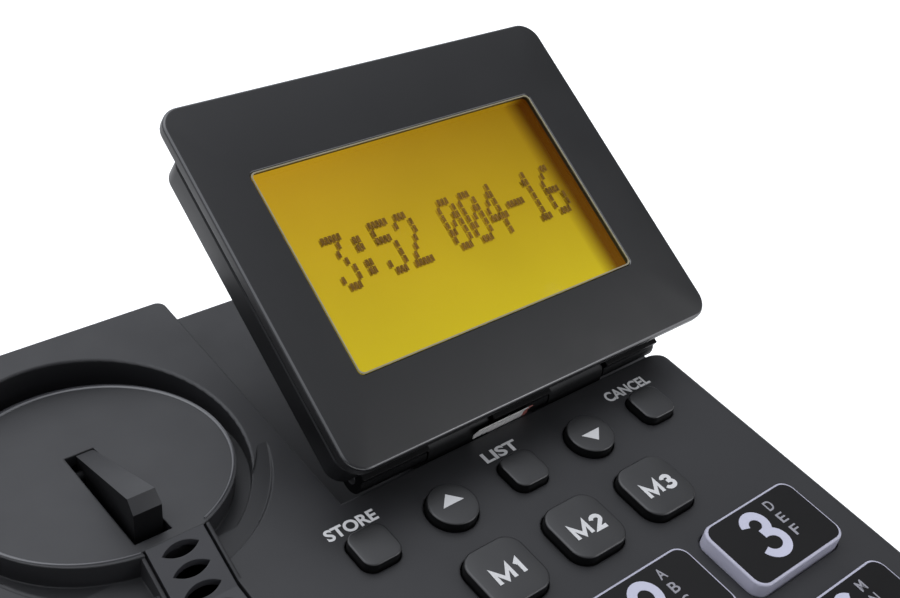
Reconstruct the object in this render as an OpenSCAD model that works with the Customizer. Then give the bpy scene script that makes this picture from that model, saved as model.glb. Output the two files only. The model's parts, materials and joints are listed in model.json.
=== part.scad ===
// Corded desk speakerphone with an empty handset cradle and a tilting display.
// Millimetres. +X right, +Y back, +Z up; the origin is the middle of the whole
// object's footprint on the table. "Deck" is the sloping top face.

/* [Body] */
// Width of the body, left to right
body_w = 170; // [165:1:190]
// Length of the deck along its slope, front to back
deck_len = 237; // [235:1:260]
// Slope of the deck above the table, degrees
incline = 14; // [8:0.5:18]
// Height of the deck's front edge above the table
front_h = 26; // [24:0.5:36]
// Wall thickness of both case halves
wall = 2.5; // [2:0.1:3]
// Radius of the body's corners seen from above
corner_r = 10; // [8:0.5:16]
// Rounding of the deck's long edges
edge_r = 2.5; // [1:0.1:4]
// Height of the line where the two case halves part
split_h = 18.5; // [18:0.25:20]
// Height of the rubber feet
foot_h = 2.5; // [1.5:0.25:5]
// Radius of a rubber foot
foot_r = 8; // [6:0.5:10]

/* [Handset cradle] */
// Distance of the cradle's middle line from the body's left side
cradle_from_left = 36.6; // [36:0.1:44]
// Distance of the earpiece rest's middle from the deck's back edge
ear_from_back = 37.9; // [34:0.1:45]
// Radius of the earpiece rest
ear_r = 27.8; // [26:0.1:30]
// Depth of the earpiece rest below the deck at its middle
ear_depth = 0.2; // [0.1:0.1:3]
// Fall of the earpiece rest to the back, measured from the deck, degrees
ear_tilt = 9.5; // [5:0.5:12]
// Width of the groove round the earpiece rest
ear_groove_w = 3.3; // [2:0.1:4]
// Depth of that groove below the rest
ear_groove_depth = 5.5; // [1.5:0.1:7]
// Rounding of the groove's top edge
ear_edge_r = 0.5; // [0.2:0.1:0.6]
// Radius of the shallow moat's outer side, round the front of the rest
moat_r = 33; // [31.5:0.1:34]
// Distance from the rest's middle forward to the moat's middle
moat_forward = 1.3; // [1:0.1:5]
// Distance from the rest's middle to the right of the moat's middle
moat_right = 1.8; // [0:0.1:3]
// Radius of the moat's inner side
moat_inner_r = 37.6; // [36:0.1:39]
// Distance from the rest's middle back to the middle of the moat's inner side
moat_inner_back = 10.2; // [9:0.1:12]
// Depth of the moat at its front
moat_depth = 1.8; // [1:0.1:10]
// Slope of the moat's outer wall, degrees
moat_slope = 70; // [40:1:80]
// Slope of the moat's floor where it runs out at the back, degrees
moat_tilt = 5; // [4:0.5:25]
// Distance from the rest's middle forward to the moat's back end
moat_end = 11; // [8:0.5:14]
// Width of the mouthpiece recess
mouth_w = 34; // [28:0.5:36]
// Length of the mouthpiece recess
mouth_len = 54; // [44:0.5:58]
// Depth of the mouthpiece recess
mouth_depth = 8; // [5:0.1:10]
// Distance of the mouthpiece recess's middle from the deck's front edge
mouth_from_front = 46; // [42:0.5:48]

/* [Loudspeaker] */
// Width of the loudspeaker grille
grille_w = 12.2; // [11:0.1:15]
// Length of the loudspeaker grille
grille_len = 64; // [50:0.5:70]
// Thickness of the grille
grille_t = 1.7; // [1.2:0.1:1.9]
// Distance from the cradle's middle line right to the grille's
grille_right = 2.7; // [0:0.1:3]
// Slope of the grille's ramp up to the earpiece rest, degrees
grille_slope = 19.5; // [15:0.5:25]
// Drop of the grille below the deck
grille_drop = 0.3; // [0.2:0.1:0.6]
// Gap along each side of the grille
grille_gap = 0.6; // [0.2:0.1:0.8]
// Width of the rail on each side of the grille
grille_rail = 1.3; // [1:0.1:2]
// Spacing of the grille's oval openings
slot_pitch = 4.1; // [4:0.1:8]
// Radius of the loudspeaker
speaker_r = 22; // [18:0.5:23]
// Depth of the loudspeaker behind the deck
speaker_depth = 20; // [14:0.5:24]

/* [Hook lever] */
// Width of the hook lever at its nose
lever_w = 6; // [5:0.1:8]
// Width of the hook lever at its tail
lever_tail_w = 3.6; // [3:0.1:5]
// Clearance on each side of the lever in its slot
lever_gap = 0.9; // [0.4:0.1:1.2]
// Length of the lever in front of its pivot
lever_reach = 25.2; // [23:0.1:26]
// Rise of the lever's nose above the earpiece rest
lever_rise = 7.5; // [4:0.1:8]
// Length of the lever's flat nose
nose_len = 2.4; // [2:0.1:5]
// Radius of the lever's pivot pin
lever_pin_r = 1.5; // [1:0.1:2]

/* [Keypad] */
// Distance of the dial keys' middle line from the body's right side
keys_from_right = 59.6; // [58:0.1:70]
// Distance of the memory and menu keys' middle line from the body's right side
rows_from_right = 58.4; // [57:0.1:68]
// Width of a dial key
key_w = 28.4; // [20:0.1:29]
// Depth of a dial key, front to back
key_d = 17.6; // [12:0.1:19]
// Spacing of the dial keys across
key_pitch_x = 34.4; // [33:0.1:36]
// Spacing of the dial keys front to back
key_pitch_y = 24.6; // [23:0.1:25]
// Distance of the first row of dial keys from the deck's back edge
key_row_from_back = 125.5; // [124:0.1:130]
// Rise of the dial keys above the deck
key_h = 3.3; // [3:0.1:6]
// Corner radius of a dial key
key_r = 3; // [1:0.1:5]
// Width of a memory key
memory_w = 14.4; // [10:0.1:15]
// Spacing of the memory keys
memory_pitch = 21.6; // [19:0.1:24]
// Distance of the memory keys from the deck's back edge
memory_from_back = 102.4; // [102:0.1:106]
// Rise of the memory keys above the deck
memory_h = 2.6; // [2:0.1:6]
// Width of a square menu key
menu_w = 9; // [8:0.1:11.5]
// Diameter of a round menu key
menu_round_w = 11; // [8:0.1:11.5]
// Spacing of the menu keys
menu_pitch = 19.9; // [18:0.1:21]
// Distance of the menu keys from the deck's back edge
menu_from_back = 83.7; // [83:0.1:87]
// Rise of the menu keys above the deck
menu_h = 2.3; // [2:0.1:4.5]
// Width of a function key
function_w = 18; // [12:0.1:20]
// Depth of a function key, front to back
function_d = 8; // [6:0.1:9]
// Spacing of the function keys
function_pitch = 24; // [23:0.1:26]
// Distance of the function keys from the deck's front edge
function_from_front = 14; // [13.5:0.1:15]
// Travel of every key
key_travel = 1.2; // [0.6:0.1:1.4]
// Clearance round every key in its hole
key_gap = 0.35; // [0.2:0.05:0.6]

/* [Display] */
// Width of the display's bezel
display_w = 105.9; // [96:0.1:112]
// Height of the display's bezel
display_hgt = 85.7; // [80:0.1:90]
// Reach of the display past the body's right side
display_overhang = 6.8; // [3:0.1:12]
// Thickness of the bezel
bezel_t = 2.8; // [2.4:0.1:4]
// Depth of the display's back housing
back_t = 7.4; // [6.6:0.1:10]
// Corner radius of the bezel
bezel_r = 5; // [4:0.1:10]
// Width of the window
window_w = 79.2; // [60:0.1:82]
// Height of the window
window_hgt = 48.7; // [40:0.1:50]
// Distance of the window from the bezel's left side
window_from_left = 12.6; // [11:0.1:14]
// Distance of the window from the bezel's bottom edge
window_from_bottom = 18; // [15:0.1:20]
// Tilt of the display above the deck as it rests, degrees
display_tilt = 25.7; // [20:0.1:30]
// Height of the hinge's axis above the deck
hinge_rise = 1.3; // [0.8:0.1:2.5]
// Depth of the notch that the display folds over
notch_depth = 5.8; // [5:0.1:7]
// Distance of the notch from the body's left side
notch_from_left = 73.3; // [72:0.1:76]
// Length of the notch, front to back
notch_len = 70.9; // [69:0.1:72]
// Radius of the hinge barrel
barrel_r = 3.6; // [3:0.1:4.2]
// Radius of the hinge pin
hinge_pin_r = 1.5; // [1:0.1:2]

/* [Controls on the side] */
// Radius of the volume wheel
wheel_r = 11; // [9:0.25:14]
// Thickness of the volume wheel
wheel_t = 5; // [3:0.25:7]
// How far the wheel and the slider stand out of the side
control_out = 2.5; // [1:0.1:4]
// Travel of the tone slider each way
tone_travel = 5; // [3:0.5:7]
// Distance of the volume wheel's middle from the deck's back edge
wheel_from_back = 146.5; // [140:0.5:160]
// Distance of the tone slider's middle from the deck's back edge
tone_from_back = 104.5; // [100:0.5:110]

/* [Sockets] */
// Width of a cord socket's body
jack_w = 13; // [12.5:0.1:15]
// Height of a cord socket's body
jack_h = 12; // [11:0.1:13]
// Depth of a cord socket's body
jack_d = 14; // [12:0.1:18]

/* [Hidden] */
$fn = 64;

// Clearances and small standard sizes
fit_gap = 0.2;
running_gap = 0.05;
side_gap = 0.4;
far = 400;
cut = 1;
flange = 1;
flange_t = 1.2;
plunger_r = 2.5;
plunger_len = 2;
dome_h = 0.5;
dome_margin = 1;
mat_t = 1;
board_t = 1.6;
board_screw_r = 1;
board_screw_short = 1;
case_screw_r = 1.45;
screw_head_t = 1.4;
boss_r = 4;
board_boss_r = 2.2;

// Body
body_d = deck_len * cos(incline);
deck_mid_h = front_h + deck_len / 2 * sin(incline);
back_h = front_h + deck_len * sin(incline);
floor_h = foot_h + wall;
left_x = -body_w / 2;
right_x = body_w / 2;
deck_front = -deck_len / 2;
deck_back = deck_len / 2;
screw_side = 3;
screw_end = 8;
screw_x = body_w / 2 - wall - boss_r - screw_side;
screw_y = body_d / 2 - wall - boss_r - screw_end;
foot_margin = 4;
foot_x = body_w / 2 - foot_r - foot_margin;
foot_y = body_d / 2 - foot_r - foot_margin;
lip_t = 1.2;
lip_h = 2;

// Cradle
cradle_x = left_x + cradle_from_left;
ear_y = deck_back - ear_from_back;
rim_r = ear_r + ear_groove_w;
moat_y = ear_y - moat_forward;
mouth_y = deck_front + mouth_from_front;
mouth_r = 12;
grille_x = cradle_x + grille_right;
grille_lap = 1.5;
grille_back = ear_y - ear_r + grille_lap;
grille_front = grille_back - grille_len;
grille_mid_y = grille_back - grille_len / 2;
grille_top = (ear_y - grille_back) * tan(ear_tilt) - ear_depth / cos(ear_tilt);
ramp_end = grille_back - (grille_top + grille_drop) / tan(grille_slope);
grille_ledge = 1;
slot_margin = 0.3;
slot_r = 6.2;
slot_half = 1.4;
slot_count = floor((grille_len - 2 * slot_margin) / slot_pitch);
first_slot_y = grille_back - slot_margin - slot_pitch / 2;
speaker_from_grille = 35.5;
speaker_y = grille_back - speaker_from_grille;
speaker_rim = 3;
lever_x = -0.25;
lever_pivot_y = 2.6;
lever_pivot_z = -3.6;
lever_boss_r = 2.9;
nose_fall = 2.3;
lever_front = lever_pivot_y - lever_reach;
lever_back = lever_pivot_y + lever_boss_r;
lever_sweep_r = norm([lever_reach, lever_rise - nose_fall - lever_pivot_z]);
lever_slot_w = lever_w + 2 * lever_gap;
lever_slot_front = lever_pivot_y - lever_sweep_r - fit_gap;
lever_slot_back = lever_back + fit_gap;
lever_slot_taper = 0.8;
lug_t = 2.6;
switch_w = 6;
switch_l = 12;
switch_below = 5;

// Keys
keys_x = right_x - keys_from_right;
rows_x = right_x - rows_from_right;
key_row_y = deck_back - key_row_from_back;
memory_y = deck_back - memory_from_back;
menu_y = deck_back - menu_from_back;
function_y = deck_front + function_from_front;
function_h = 3;
function_r = 2.5;
memory_r = 4;
menu_r = 2.5;
dome_clear = 0.3;
board_margin = 3;
flange_top = -wall - fit_gap;
plunger_end = flange_top - flange_t - plunger_len;
mat_top = plunger_end - key_travel - dome_clear - dome_h;
board_top = mat_top - mat_t;
board_x0 = keys_x - key_pitch_x - key_w / 2 + 1;
board_x1 = right_x - wall - board_margin;
board_y0 = function_y - function_d / 2 - board_margin;
board_y1 = menu_y + max(menu_w, menu_round_w) / 2 + board_margin;
boss_places = [for (sx = [-0.5, 0.5]) for (row = [0.5, 2.5])
    [keys_x + sx * key_pitch_x, key_row_y - row * key_pitch_y]];

// Display
notch_x = left_x + notch_from_left;
notch_y = deck_back - notch_len;
display_x = right_x + display_overhang - display_w;
display_t = bezel_t + back_t;
barrel_behind = barrel_r + 0.7;
hinge_v = 2.5;
hinge_n = -display_t - barrel_behind;
hinge_y = notch_y + barrel_r + side_gap;
display_y = hinge_y - hinge_v * cos(display_tilt) + hinge_n * sin(display_tilt);
display_rise = hinge_rise - hinge_v * sin(display_tilt) - hinge_n * cos(display_tilt);
arm_below = 2.5;
deck_corner_r = 6;
platform_corner_r = 2;
back_inset = 1.4;
groove_inset = 2.6;
groove_t = 0.8;
back_short = 8.5;
back_r = bezel_r - 1;
back_wall = 1.6;
lens_t = 1.2;
bezel_face_t = bezel_t - lens_t;
panel_t = 2.6;
light_t = 1.6;
lens_border = 2;
panel_border = 3;
hinge_x0 = notch_x + 5;
hinge_x1 = right_x - 4;
knuckle_count = 5;
knuckle_len = (hinge_x1 - hinge_x0 - (knuckle_count - 1) * side_gap) / knuckle_count;

// Controls on the side, in the deck's frame
wheel_x = right_x + control_out - wheel_r;
wheel_y = deck_back - wheel_from_back;
wheel_top = board_top - board_t - 4;
pot_shaft_r = 2;
pot_r = 5;
tone_y = deck_back - tone_from_back;
tone_knob_l = 6;
tone_knob_h = 4;
tone_slot_l = 2 * tone_travel + tone_knob_l + 2 * side_gap;
tone_body_l = 2 * tone_travel + tone_knob_l + 6;
tone_body_h = 8;
tone_body_w = 6;
tone_z = board_top - board_t - tone_body_h / 2;

// Sockets, in the part's frame
line_from_left = 40;
line_x = left_x + line_from_left;
power_from_left = 70;
power_x = left_x + power_from_left;
handset_from_front = 55;
handset_y = handset_from_front - body_d / 2;
socket_w = 9.8;
socket_h = 6.8;
socket_d = 11;
socket_z = (jack_h - socket_h) / 2 + 1;
latch_w = 4.2;
latch_h = 2;
power_w = 9.6;
power_bore_r = 3.1;
power_pin_r = 1;
mic_r = 4.85;
mic_t = 5;
mic_y = deck_front + wall + mic_r + 1;
mic_hole_r = 0.8;

// The origin is the middle of the whole box, display included
origin_x = display_overhang / 2;

// Frames
module part() { translate([-origin_x, 0, 0]) children(); }
module on_deck() { part() translate([0, 0, deck_mid_h]) rotate([incline, 0, 0]) children(); }
module in_rest() {
    on_deck() translate([cradle_x, ear_y, -ear_depth]) rotate([-ear_tilt, 0, 0]) children();
}
module at_lever() { in_rest() translate([lever_x, 0, 0]) children(); }
module on_display() {
    on_deck() translate([display_x, display_y, display_rise]) rotate([display_tilt, 0, 0]) children();
}
module on_hinge() { on_deck() translate([0, hinge_y, hinge_rise]) children(); }

// Plain shapes
module rounded_rect(w, d, r) {
    square([w - 2 * r, d], center = true);
    square([w, d - 2 * r], center = true);
    for (sx = [-1, 1])
        for (sy = [-1, 1])
            translate([sx * (w / 2 - r), sy * (d / 2 - r)]) circle(r);
}
module slab(z0, z1) { translate([0, 0, z0]) linear_extrude(z1 - z0) children(); }
module bar_x(x0, x1, r) { translate([x0, 0, 0]) rotate([0, 90, 0]) cylinder(r = r, h = x1 - x0); }

// Body shapes
module body_prism(inset, z0, z1) {
    part() slab(z0, z1) rounded_rect(body_w - 2 * inset, body_d - 2 * inset, corner_r - inset);
}
module under_deck(depth) {
    on_deck() translate([-far, -far, -far - depth]) cube([2 * far, 2 * far, far]);
}
module deck_tunnel() {
    on_deck() rotate([90, 0, 0]) linear_extrude(2 * far, center = true) {
        translate([left_x + edge_r, -far]) square([body_w - 2 * edge_r, far]);
        translate([left_x, -far]) square([body_w, far - edge_r]);
        for (x = [left_x + edge_r, right_x - edge_r])
            translate([x, -edge_r]) circle(edge_r);
    }
}
module notch_corner(x, y, r) {
    translate([x - r, y - r]) difference() {
        square(r + cut);
        circle(r);
    }
}
module notch_shape(grow) {
    translate([notch_x - grow, notch_y - grow]) square(far);
}
module notch(grow) {
    on_deck() slab(-notch_depth - grow, far) notch_shape(grow);
}
module notch_corners() {
    on_deck() slab(-notch_depth, far) {
        notch_corner(right_x, notch_y, deck_corner_r);
        notch_corner(notch_x, deck_back, platform_corner_r);
    }
}
module above_floor(drop) {
    in_rest() translate([-far, -far, -drop]) cube([2 * far, 2 * far, far]);
}
module rest_post(r) {
    on_deck() translate([cradle_x, ear_y, -far / 2]) cylinder(r = r, h = far);
}
module ear_well(grow) {
    intersection() {
        rest_post(rim_r + grow);
        above_floor(ear_groove_depth + grow);
    }
}
module well_edge() {
    on_deck() translate([cradle_x, ear_y, 0]) rotate_extrude() difference() {
        translate([rim_r - cut, -ear_edge_r]) square([cut + ear_edge_r, ear_edge_r + cut]);
        translate([rim_r + ear_edge_r, -ear_edge_r]) circle(ear_edge_r);
    }
}
module under_rest() {
    difference() {
        rest_post(ear_r);
        above_floor(0);
    }
}
module ear_rest() {
    difference() {
        under_rest();
        under_deck(wall);
        rest_core();
    }
}
module rest_core() {
    difference() {
        rest_post(ear_r - wall);
        above_floor(wall);
    }
}
module moat(grow) {
    intersection() {
        on_deck() translate([cradle_x + moat_right, moat_y, -moat_depth - grow])
            cylinder(r1 = moat_r + grow - moat_depth / tan(moat_slope),
                r2 = moat_r + grow + cut / tan(moat_slope), h = moat_depth + grow + cut);
        on_deck() translate([0, ear_y - moat_end, -grow]) rotate([moat_tilt, 0, 0])
            translate([-far, -far, 0]) cube([2 * far, 2 * far, far]);
    }
}
module moat_inside() {
    on_deck() translate([cradle_x, ear_y + moat_inner_back, -far / 2])
        cylinder(r = moat_inner_r, h = far);
}
module grille_run(w, profile) {
    on_deck() translate([grille_x, 0, 0]) rotate([90, 0, 90])
        linear_extrude(w, center = true) polygon(profile);
}
module grille_bed() {
    grille_run(grille_w + 2 * grille_rail, [
        [grille_back, -wall], [grille_back, grille_top], [ramp_end, -grille_drop],
        [grille_front, -grille_drop], [grille_front, -wall]]);
}
module grille_seat() {
    grille_run(grille_w + 2 * grille_gap, [
        [grille_back, far], [grille_back, grille_top - grille_t], [ramp_end, -grille_drop - grille_t],
        [grille_front, -grille_drop - grille_t], [grille_front, far]]);
    on_deck() translate([grille_x, grille_mid_y, 0]) slab(-far / 8, far)
        square([grille_w - 2 * grille_ledge, grille_len - 2 * grille_ledge], center = true);
}
module mouth(grow) {
    on_deck() translate([cradle_x, mouth_y, 0])
        slab(-mouth_depth - grow, far)
            rounded_rect(mouth_w + 2 * grow, mouth_len + 2 * grow, mouth_r + grow);
}
module lever_slot() {
    at_lever() slab(-wall - cut, far)
        polygon([
            [-lever_slot_w / 2, lever_slot_front],
            [lever_slot_w / 2, lever_slot_front],
            [lever_w / 2 + fit_gap, lever_slot_back],
            [lever_slot_taper - lever_slot_w / 2, lever_slot_back]]);
}
module lever_axis(r, half) {
    at_lever() translate([0, lever_pivot_y, lever_pivot_z]) bar_x(-half, half, r);
}
module lever_lugs() {
    at_lever()
        for (x = [-lever_slot_w / 2 - lug_t, lever_slot_w / 2])
            translate([x, lever_pivot_y - lever_boss_r, lever_pivot_z - lever_boss_r])
                cube([lug_t, 2 * lever_boss_r, lever_boss_r - lever_pivot_z - wall / 2]);
}

// Keys: each is [x, y, width, depth, corner radius, rise] on the deck
function dial_key_at(col, row) = [keys_x + (col - 1) * key_pitch_x, key_row_y - row * key_pitch_y,
    key_w, key_d, key_r, key_h];
function memory_key_at(i) = [rows_x + (i - 1) * memory_pitch, memory_y,
    memory_w, memory_w, memory_r, memory_h];
function menu_key_at(i) = [rows_x + (i - 2) * menu_pitch, menu_y,
    i % 2 == 1 ? menu_round_w : menu_w, i % 2 == 1 ? menu_round_w : menu_w,
    i % 2 == 1 ? menu_round_w / 2 : menu_r, menu_h];
function function_key_at(i) = [keys_x + (i - 1.5) * function_pitch, function_y,
    function_w, function_d, function_r, function_h];
all_keys = concat(
    [for (row = [0:3]) for (col = [0:2]) dial_key_at(col, row)],
    [for (i = [0:2]) memory_key_at(i)],
    [for (i = [0:4]) menu_key_at(i)],
    [for (i = [0:3]) function_key_at(i)]);

module key_shape(key, grow) {
    if (2 * key[4] >= key[2])
        circle(key[2] / 2 + grow);
    else
        rounded_rect(key[2] + 2 * grow, key[3] + 2 * grow, key[4] + grow);
}
module key_holes() {
    on_deck()
        for (key = all_keys)
            translate([key[0], key[1], 0]) slab(-wall - cut, cut) key_shape(key, key_gap);
}
module key_cap(key) {
    on_deck() translate([key[0], key[1], 0]) {
        slab(flange_top, key[5]) key_shape(key, 0);
        slab(flange_top - flange_t, flange_top) key_shape(key, flange);
        slab(plunger_end, flange_top - flange_t) circle(plunger_r);
    }
}
module dial_key(col, row) { color("lavender") key_cap(dial_key_at(col, row)); }
module memory_key(i) { color("dimgray") key_cap(memory_key_at(i)); }
module menu_key(i) { color("dimgray") key_cap(menu_key_at(i)); }
module function_key(i) { color("dimgray") key_cap(function_key_at(i)); }

module key_1() { dial_key(0, 0); }
module key_2() { dial_key(1, 0); }
module key_3() { dial_key(2, 0); }
module key_4() { dial_key(0, 1); }
module key_5() { dial_key(1, 1); }
module key_6() { dial_key(2, 1); }
module key_7() { dial_key(0, 2); }
module key_8() { dial_key(1, 2); }
module key_9() { dial_key(2, 2); }
module key_star() { dial_key(0, 3); }
module key_0() { dial_key(1, 3); }
module key_hash() { dial_key(2, 3); }
module memory_key_1() { memory_key(0); }
module memory_key_2() { memory_key(1); }
module memory_key_3() { memory_key(2); }
module ok_key() { menu_key(0); }
module up_key() { menu_key(1); }
module set_key() { menu_key(2); }
module down_key() { menu_key(3); }
module clear_key() { menu_key(4); }
module speaker_key() { function_key(0); }
module flash_key() { function_key(1); }
module redial_key() { function_key(2); }
module boost_key() { function_key(3); }

// Case halves
module board_bosses() {
    at_board_screws() difference() {
        slab(board_top, -wall / 2) circle(board_boss_r);
        slab(board_top - cut, -wall) circle(board_screw_r + running_gap);
    }
}
module screw_places() {
    part()
        for (sx = [-1, 1])
            for (sy = [-1, 1])
                translate([sx * screw_x, sy * screw_y, 0]) children();
}
module case_bosses() {
    intersection() {
        difference() {
            screw_places() slab(floor_h, back_h) circle(boss_r);
            screw_places() slab(floor_h - cut, split_h) circle(case_screw_r + running_gap);
        }
        under_deck(wall / 2);
    }
}
module wheel_slot() {
    on_deck() translate([wheel_x, wheel_y, wheel_top - wheel_t - side_gap])
        cylinder(r = wheel_r + side_gap, h = wheel_t + 2 * side_gap);
}
module tone_slot() {
    on_deck() translate([right_x, tone_y, tone_z])
        cube([4 * wall, tone_slot_l, tone_knob_h + 2 * side_gap], center = true);
}
module mic_hole() {
    on_deck() translate([cradle_x, mic_y, 0]) slab(-wall - cut, cut) circle(mic_hole_r);
}
module top_case() {
    color("dimgray") difference() {
        union() {
            difference() {
                intersection() {
                    body_prism(0, split_h, far);
                    under_deck(0);
                    deck_tunnel();
                }
                difference() {
                    intersection() {
                        body_prism(wall, 0, far);
                        union() {
                            under_deck(wall);
                            rest_core();
                        }
                    }
                    notch(wall);
                    difference() {
                        union() {
                            ear_well(wall);
                            moat(wall);
                        }
                        rest_core();
                    }
                    mouth(wall);
                }
            }
            ear_rest();
            grille_bed();
            board_bosses();
            case_bosses();
            lever_lugs();
        }
        notch(0);
        notch_corners();
        difference() {
            ear_well(0);
            under_rest();
            grille_bed();
        }
        difference() {
            well_edge();
            grille_bed();
        }
        difference() {
            moat(0);
            rest_post(ear_r);
            moat_inside();
            grille_bed();
        }
        grille_seat();
        mouth(0);
        lever_slot();
        lever_axis(lever_pin_r, lever_slot_w / 2 + lug_t);
        key_holes();
        wheel_slot();
        tone_slot();
        mic_hole();
    }
}
module bottom_case() {
    color("dimgray") difference() {
        union() {
            difference() {
                body_prism(0, foot_h, split_h);
                body_prism(wall, floor_h, far);
            }
            difference() {
                body_prism(wall + fit_gap, floor_h, split_h + lip_h);
                body_prism(wall + fit_gap + lip_t, 0, far);
            }
            difference() {
                body_prism(wall / 2, floor_h, split_h);
                body_prism(wall + fit_gap + lip_t, 0, far);
            }
        }
        screw_places() {
            slab(0, far) circle(case_screw_r + fit_gap);
            slab(0, foot_h + screw_head_t) circle(2 * case_screw_r + fit_gap);
        }
        jack_holes();
    }
}
module case_screws() {
    color("silver") screw_places() {
        slab(foot_h + fit_gap, foot_h + screw_head_t) circle(2 * case_screw_r);
        slab(foot_h + screw_head_t, split_h - fit_gap) circle(case_screw_r);
    }
}
module rubber_feet() {
    color("black") part()
        for (sx = [-1, 1])
            for (sy = [-1, 1])
                translate([sx * foot_x, sy * foot_y, 0]) slab(0, foot_h) circle(foot_r);
}

// Keypad electronics
module board_slab(z0, z1) {
    difference() {
        on_deck() slab(z0, z1)
            translate([board_x0, board_y0]) square([board_x1 - board_x0, board_y1 - board_y0]);
        screw_places() slab(0, back_h) circle(boss_r + side_gap);
    }
}
module at_board_screws() {
    on_deck()
        for (p = boss_places)
            translate([p[0], p[1], 0]) children();
}
module key_mat() {
    color("gainsboro") {
        difference() {
            board_slab(board_top, mat_top);
            at_board_screws() slab(board_top - cut, mat_top + cut) circle(board_boss_r + fit_gap);
        }
        on_deck()
            for (key = all_keys)
                translate([key[0], key[1], 0])
                    slab(mat_top, mat_top + dome_h) circle(plunger_r + dome_margin);
    }
}
module main_board() {
    color("darkgreen") difference() {
        board_slab(board_top - board_t, board_top);
        at_board_screws()
            slab(board_top - board_t - cut, board_top + cut) circle(board_screw_r + fit_gap);
    }
}
module board_screws() {
    color("silver") at_board_screws() {
        slab(board_top - board_t - screw_head_t, board_top - board_t) circle(2 * board_screw_r);
        slab(board_top - board_t, -wall - board_screw_short) circle(board_screw_r);
    }
}

// Volume wheel and tone slider
module volume_pot() {
    color("gray") on_deck() translate([wheel_x, wheel_y, 0]) {
        slab(wheel_top + fit_gap, board_top - board_t) circle(pot_r);
        slab(wheel_top - wheel_t - 2, wheel_top + fit_gap) circle(pot_shaft_r);
    }
}
module volume_wheel() {
    color("dimgray") on_deck() translate([wheel_x, wheel_y, 0])
        difference() {
            slab(wheel_top - wheel_t, wheel_top) circle(wheel_r);
            slab(wheel_top - wheel_t - cut, wheel_top + cut) circle(pot_shaft_r + running_gap);
        }
}
module tone_pot() {
    color("gray") on_deck() translate([right_x - 2 * wall - tone_body_w, tone_y, tone_z])
        difference() {
            translate([0, -tone_body_l / 2, -tone_body_h / 2])
                cube([tone_body_w, tone_body_l, tone_body_h]);
            translate([tone_body_w - 2, -tone_body_l / 2 + 1, -1 - fit_gap])
                cube([2 + cut, tone_body_l - 2, 2 + 2 * fit_gap]);
        }
}
module tone_slider() {
    color("dimgray") on_deck() translate([right_x, tone_y, tone_z]) {
        translate([-2 * wall - 2 + fit_gap, -2, -1]) cube([wall + 2, 4, 2]);
        translate([-2 * wall + fit_gap, -tone_knob_l / 2, -tone_knob_h / 2])
            cube([2 * wall + control_out - fit_gap, tone_knob_l, tone_knob_h]);
    }
}

// Hook lever, its pin and its switch
module lever_profile() {
    difference() {
        union() {
            polygon([
                [lever_back, lever_pivot_z],
                [lever_back, -fit_gap],
                [lever_front + nose_len, lever_rise],
                [lever_front, lever_rise - nose_fall],
                [lever_front, lever_pivot_z],
                [lever_pivot_y, lever_pivot_z - lever_boss_r]]);
            translate([lever_pivot_y, lever_pivot_z]) circle(lever_boss_r);
        }
        translate([lever_pivot_y, lever_pivot_z]) circle(lever_pin_r + running_gap);
    }
}
module lever_plan() {
    polygon([
        [-lever_w / 2, lever_front - cut],
        [lever_w / 2, lever_front - cut],
        [lever_w / 2, lever_back + cut],
        [lever_w / 2 - lever_tail_w, lever_back + cut]]);
}
module hook_lever() {
    color("dimgray") at_lever() intersection() {
        rotate([90, 0, 90]) linear_extrude(lever_w, center = true) lever_profile();
        slab(-far, far) lever_plan();
    }
}
module hook_pin() {
    color("silver") lever_axis(lever_pin_r, lever_slot_w / 2 + lug_t);
}
module hook_switch() {
    color("black") at_lever()
        translate([lever_slot_w / 2 + lug_t, lever_pivot_y - lever_boss_r,
            lever_pivot_z - lever_boss_r - switch_below])
            cube([switch_w, switch_l, switch_below + lever_boss_r - lever_pivot_z - wall]);
}

// Loudspeaker and microphone
module grille() {
    color("dimgray") difference() {
        grille_run(grille_w, [
            [grille_back, grille_top], [ramp_end, -grille_drop], [grille_front, -grille_drop],
            [grille_front, -grille_drop - grille_t], [ramp_end, -grille_drop - grille_t],
            [grille_back, grille_top - grille_t]]);
        for (i = [0 : slot_count - 1])
            on_deck() translate([grille_x, first_slot_y - i * slot_pitch, 0])
                slab(-far / 8, far / 8)
                    intersection() {
                        translate([0, slot_half - slot_r]) circle(slot_r);
                        translate([0, slot_r - slot_half]) circle(slot_r);
                    }
    }
}
module speaker_basket() {
    rim_t = 2;
    magnet_r = speaker_r * 0.55;
    magnet_t = 7;
    skin = 0.8;
    color("silver") on_deck() translate([grille_x, speaker_y, -wall])
        rotate_extrude() polygon([
            [speaker_r - speaker_rim, 0], [speaker_r, 0], [speaker_r, -rim_t],
            [speaker_r - speaker_rim + skin, -rim_t],
            [magnet_r, -speaker_depth + magnet_t], [magnet_r, -speaker_depth], [0, -speaker_depth],
            [0, -speaker_depth + magnet_t], [magnet_r - skin, -speaker_depth + magnet_t],
            [speaker_r - speaker_rim, -rim_t]]);
}
module speaker_cone() {
    cone_t = 0.6;
    cone_depth = 5;
    cap_r = speaker_r * 0.3;
    color("black") on_deck() translate([grille_x, speaker_y, -wall])
        rotate_extrude() polygon([
            [0, -cone_depth], [cap_r, -cone_depth], [speaker_r - speaker_rim, -cone_t],
            [speaker_r - speaker_rim, -2 * cone_t], [cap_r, -cone_depth - cone_t],
            [0, -cone_depth - cone_t]]);
}
module microphone() {
    color("silver") on_deck() translate([cradle_x, mic_y, 0]) slab(-wall - mic_t, -wall) circle(mic_r);
}

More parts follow.
